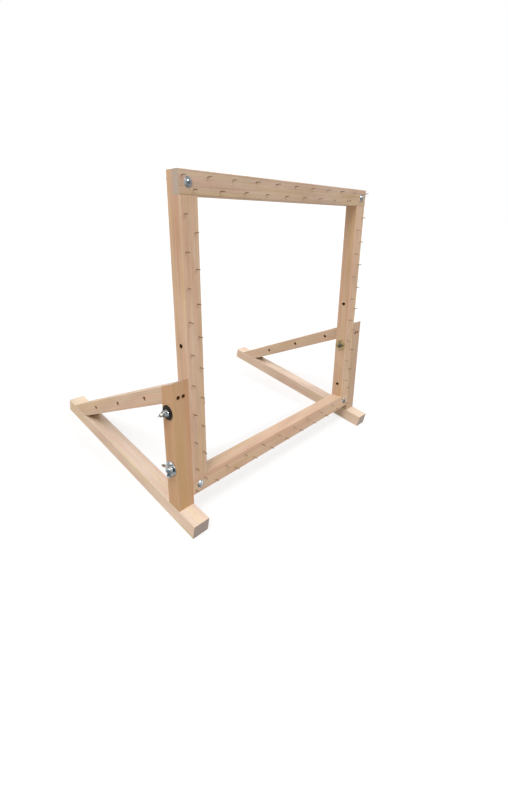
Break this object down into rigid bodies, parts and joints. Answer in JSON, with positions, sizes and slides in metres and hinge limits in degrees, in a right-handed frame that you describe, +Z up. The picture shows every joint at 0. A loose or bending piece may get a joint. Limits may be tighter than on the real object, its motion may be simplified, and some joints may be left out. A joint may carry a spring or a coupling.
{
  "type": "gripper strip frame",
  "caption": "Square beech frame with rows of gripping nails for stretching cloth, leaning back between two triangular side stands, held by wing nuts and wing screws.",
  "frame": {"origin": "centre of the two feet's footprint, on the ground", "axes": "+X to the user's right along the rails, +Y to the back along the feet, +Z up"},
  "size_m": [0.7108, 0.52, 0.6362],
  "materials": {
    "beech": "planed and sanded, unvarnished",
    "nail_steel": "bright drawn wire",
    "zinc_steel": "bright zinc plate",
    "yellow_zinc": "dull yellow zinc plate",
    "black_rubber": "matt black",
    "dark_screws": "dark phosphated steel"
  },
  "bodies": {
    "frame_and_stands": {"top_rail": "beech", "bottom_rail": "beech", "left_post": "beech", "right_post": "beech", "top_rail_nails": "nail_steel", "bottom_rail_nails": "nail_steel", "left_post_nails": "nail_steel", "right_post_nails": "nail_steel", "corner_bolts": "zinc_steel", "corner_washers": "zinc_steel", "left_foot": "beech", "right_foot": "beech", "left_upright": "beech", "right_upright": "beech", "left_brace": "beech", "right_brace": "beech", "brace_screws": "dark_screws", "foot_screws": "dark_screws", "upper_bolts": "yellow_zinc", "inner_washers": "yellow_zinc", "black_discs": "black_rubber", "lower_washers": "zinc_steel", "threaded_inserts": "yellow_zinc"},
    "top_left_wing_nut": {"top_left_wing_nut": "zinc_steel"},
    "top_right_wing_nut": {"top_right_wing_nut": "zinc_steel"},
    "bottom_left_wing_nut": {"bottom_left_wing_nut": "zinc_steel"},
    "bottom_right_wing_nut": {"bottom_right_wing_nut": "zinc_steel"},
    "left_upper_wing_nut": {"left_upper_wing_nut": "zinc_steel"},
    "right_upper_wing_nut": {"right_upper_wing_nut": "zinc_steel"},
    "left_lower_wing_screw": {"left_lower_wing_screw": "zinc_steel"},
    "right_lower_wing_screw": {"right_lower_wing_screw": "zinc_steel"}
  },
  "joints": [
    {"name": "top_left_wing_nut_spin", "type": "hinge", "parent": "frame_and_stands", "child": "top_left_wing_nut", "pos_m": [-0.281, -0.05716, 0.61126], "axis": [0, 0.9781, -0.2079], "continuous": true},
    {"name": "top_right_wing_nut_spin", "type": "hinge", "parent": "frame_and_stands", "child": "top_right_wing_nut", "pos_m": [0.281, -0.05716, 0.61126], "axis": [0, 0.9781, -0.2079], "continuous": true},
    {"name": "bottom_left_wing_nut_spin", "type": "hinge", "parent": "frame_and_stands", "child": "bottom_left_wing_nut", "pos_m": [-0.281, -0.17401, 0.06154], "axis": [0, 0.9781, -0.2079], "continuous": true},
    {"name": "bottom_right_wing_nut_spin", "type": "hinge", "parent": "frame_and_stands", "child": "bottom_right_wing_nut", "pos_m": [0.281, -0.17401, 0.06154], "axis": [0, 0.9781, -0.2079], "continuous": true},
    {"name": "left_upper_wing_nut_spin", "type": "hinge", "parent": "frame_and_stands", "child": "left_upper_wing_nut", "pos_m": [-0.338, -0.15348, 0.23506], "axis": [-1, 0, 0], "continuous": true},
    {"name": "right_upper_wing_nut_spin", "type": "hinge", "parent": "frame_and_stands", "child": "right_upper_wing_nut", "pos_m": [0.338, -0.15348, 0.23506], "axis": [1, 0, 0], "continuous": true},
    {"name": "left_lower_wing_screw_spin", "type": "hinge", "parent": "frame_and_stands", "child": "left_lower_wing_screw", "pos_m": [-0.338, -0.17801, 0.11964], "axis": [-1, 0, 0], "continuous": true},
    {"name": "right_lower_wing_screw_spin", "type": "hinge", "parent": "frame_and_stands", "child": "right_lower_wing_screw", "pos_m": [0.338, -0.17801, 0.11964], "axis": [1, 0, 0], "continuous": true}
  ]
}
